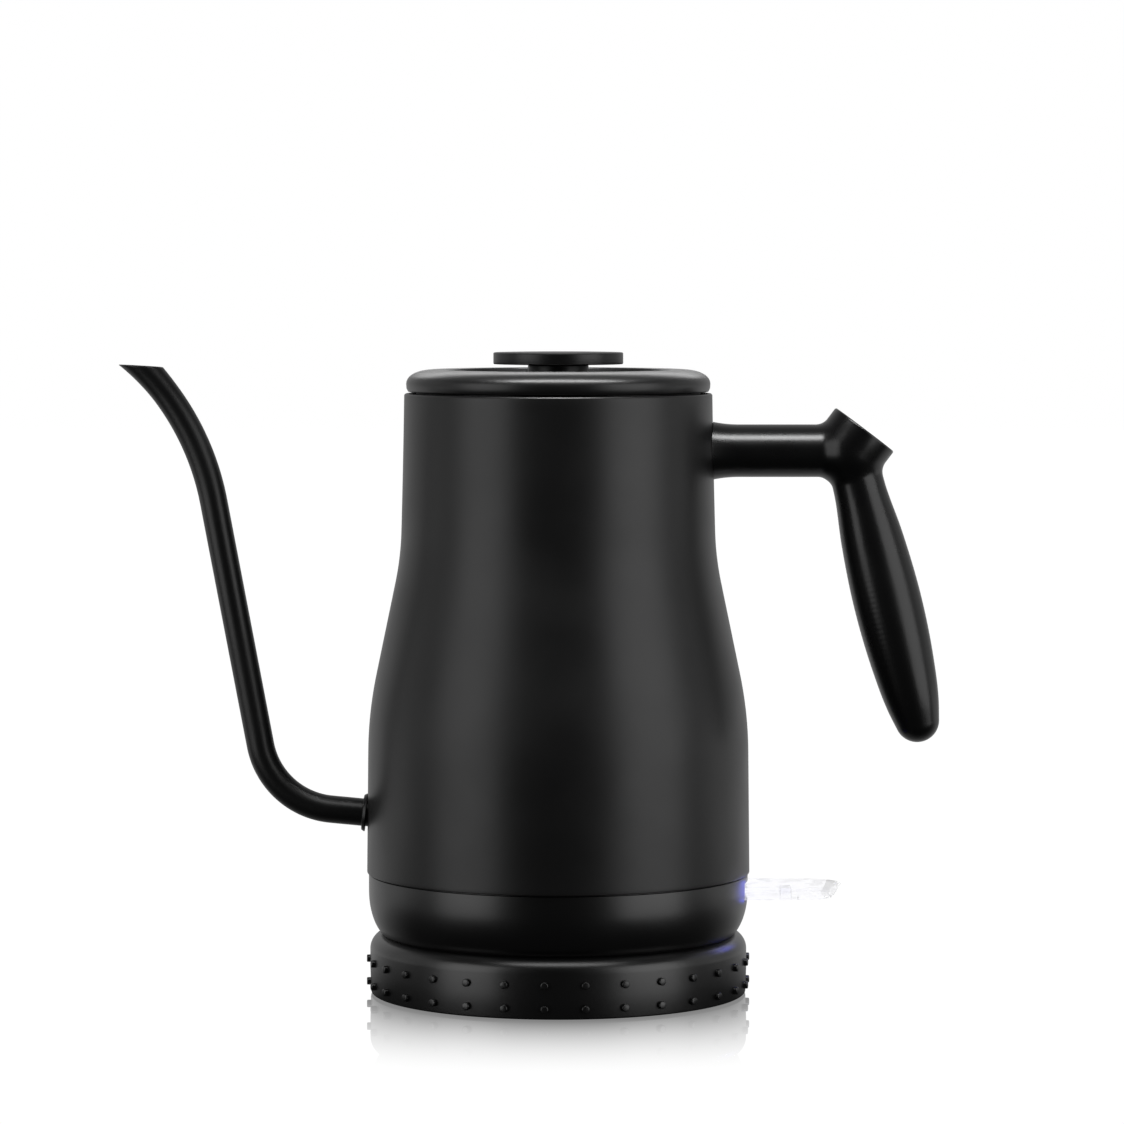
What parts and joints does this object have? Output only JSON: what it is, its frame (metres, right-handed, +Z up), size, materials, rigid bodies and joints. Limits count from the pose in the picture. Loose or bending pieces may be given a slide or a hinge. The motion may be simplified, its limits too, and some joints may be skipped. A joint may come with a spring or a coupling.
{
  "type": "electric gooseneck kettle",
  "caption": "Matte black electric gooseneck kettle with thin curved spout, arm-and-spindle handle, round knobbed lid and clear lit switch lever, on a round power base.",
  "frame": {"origin": "on the kettle's axis, at the surface that the power base stands on", "axes": "+X towards the handle, -X towards the spout, +Y to the side that the cord inlet is on, +Z up along the kettle's axis"},
  "size_m": [0.2869, 0.1342, 0.2245],
  "materials": {
    "black_paint": "matte powder coat",
    "housing_plastic": "fine moulded grain",
    "base_plastic": "fine moulded grain",
    "lid_plastic": "satin moulded",
    "handle_plastic": "satin gloss",
    "inner_plastic": "natural moulded",
    "clear_plastic": "clear polished",
    "rubber": "matte",
    "steel": "brushed",
    "aluminium": "cast",
    "brass": "plain",
    "led_blue": "clear moulded"
  },
  "bodies": {
    "base": {"base_housing": "base_plastic", "base_bottom_plate": "base_plastic", "rubber_foot_1": "rubber", "rubber_foot_2": "rubber", "rubber_foot_3": "rubber", "rubber_foot_4": "rubber", "base_screw_1": "steel", "base_screw_2": "steel", "base_screw_3": "steel", "base_connector": "base_plastic", "live_contact": "brass", "neutral_terminal": "brass", "earth_contact": "brass", "cord_gland": "rubber"},
    "slip_ring": {"coupler_slip_ring": "brass"},
    "kettle": {"vessel": "black_paint", "heater_plate": "steel", "heat_spreader": "aluminium", "heating_element": "steel", "element_terminal_1": "brass", "element_terminal_2": "brass", "spout_tube": "black_paint", "spout_flange": "black_paint", "steam_tube": "steel", "steam_tube_seal": "rubber", "lower_housing": "housing_plastic", "bottom_cover": "housing_plastic", "bottom_screw_1": "steel", "bottom_screw_2": "steel", "bottom_screw_3": "steel", "kettle_connector": "inner_plastic", "connector_pin": "brass", "connector_blade_ring": "brass", "control_body": "inner_plastic", "dry_boil_bimetal_1": "steel", "dry_boil_bimetal_2": "steel", "steam_switch_body": "inner_plastic", "steam_bimetal": "steel", "switch_body": "inner_plastic", "led_board": "inner_plastic", "indicator_led_1": "led_blue", "indicator_led_2": "led_blue", "handle_body": "handle_plastic", "handle_end_cap": "handle_plastic", "handle_core": "steel", "handle_nut": "steel", "handle_lock_screw": "steel"},
    "lever": {"switch_lever": "clear_plastic", "lever_pin": "steel"},
    "push_rod": {"push_rod": "inner_plastic"},
    "lid": {"lid_cover": "lid_plastic", "lid_liner": "steel", "lid_seal": "rubber", "knob_stem": "lid_plastic", "knob_disc": "lid_plastic", "lid_screw": "steel"}
  },
  "joints": [
    {"name": "kettle_turn", "type": "hinge", "parent": "base", "child": "slip_ring", "pos_m": [0, 0, 0], "axis": [0, 0, 1], "continuous": true},
    {"name": "kettle_lift", "type": "slide", "parent": "slip_ring", "child": "kettle", "axis": [0, 0, 1], "range_m": [0, 0.06]},
    {"name": "lever_tilt", "type": "hinge", "parent": "kettle", "child": "lever", "pos_m": [0.06, 0, 0.036], "axis": [0, -1, 0], "range_deg": [0, 10]},
    {"name": "push_rod_slide", "type": "slide", "parent": "kettle", "child": "push_rod", "axis": [0, 0, 1], "range_m": [-0.0022, 0.0001]},
    {"name": "lid_lift", "type": "slide", "parent": "kettle", "child": "lid", "axis": [0, 0, 1], "range_m": [0, 0.045]}
  ],
  "couplings": [
    {"joint": "push_rod_slide", "follows": "lever_tilt", "m_per_rad": -0.012}
  ]
}
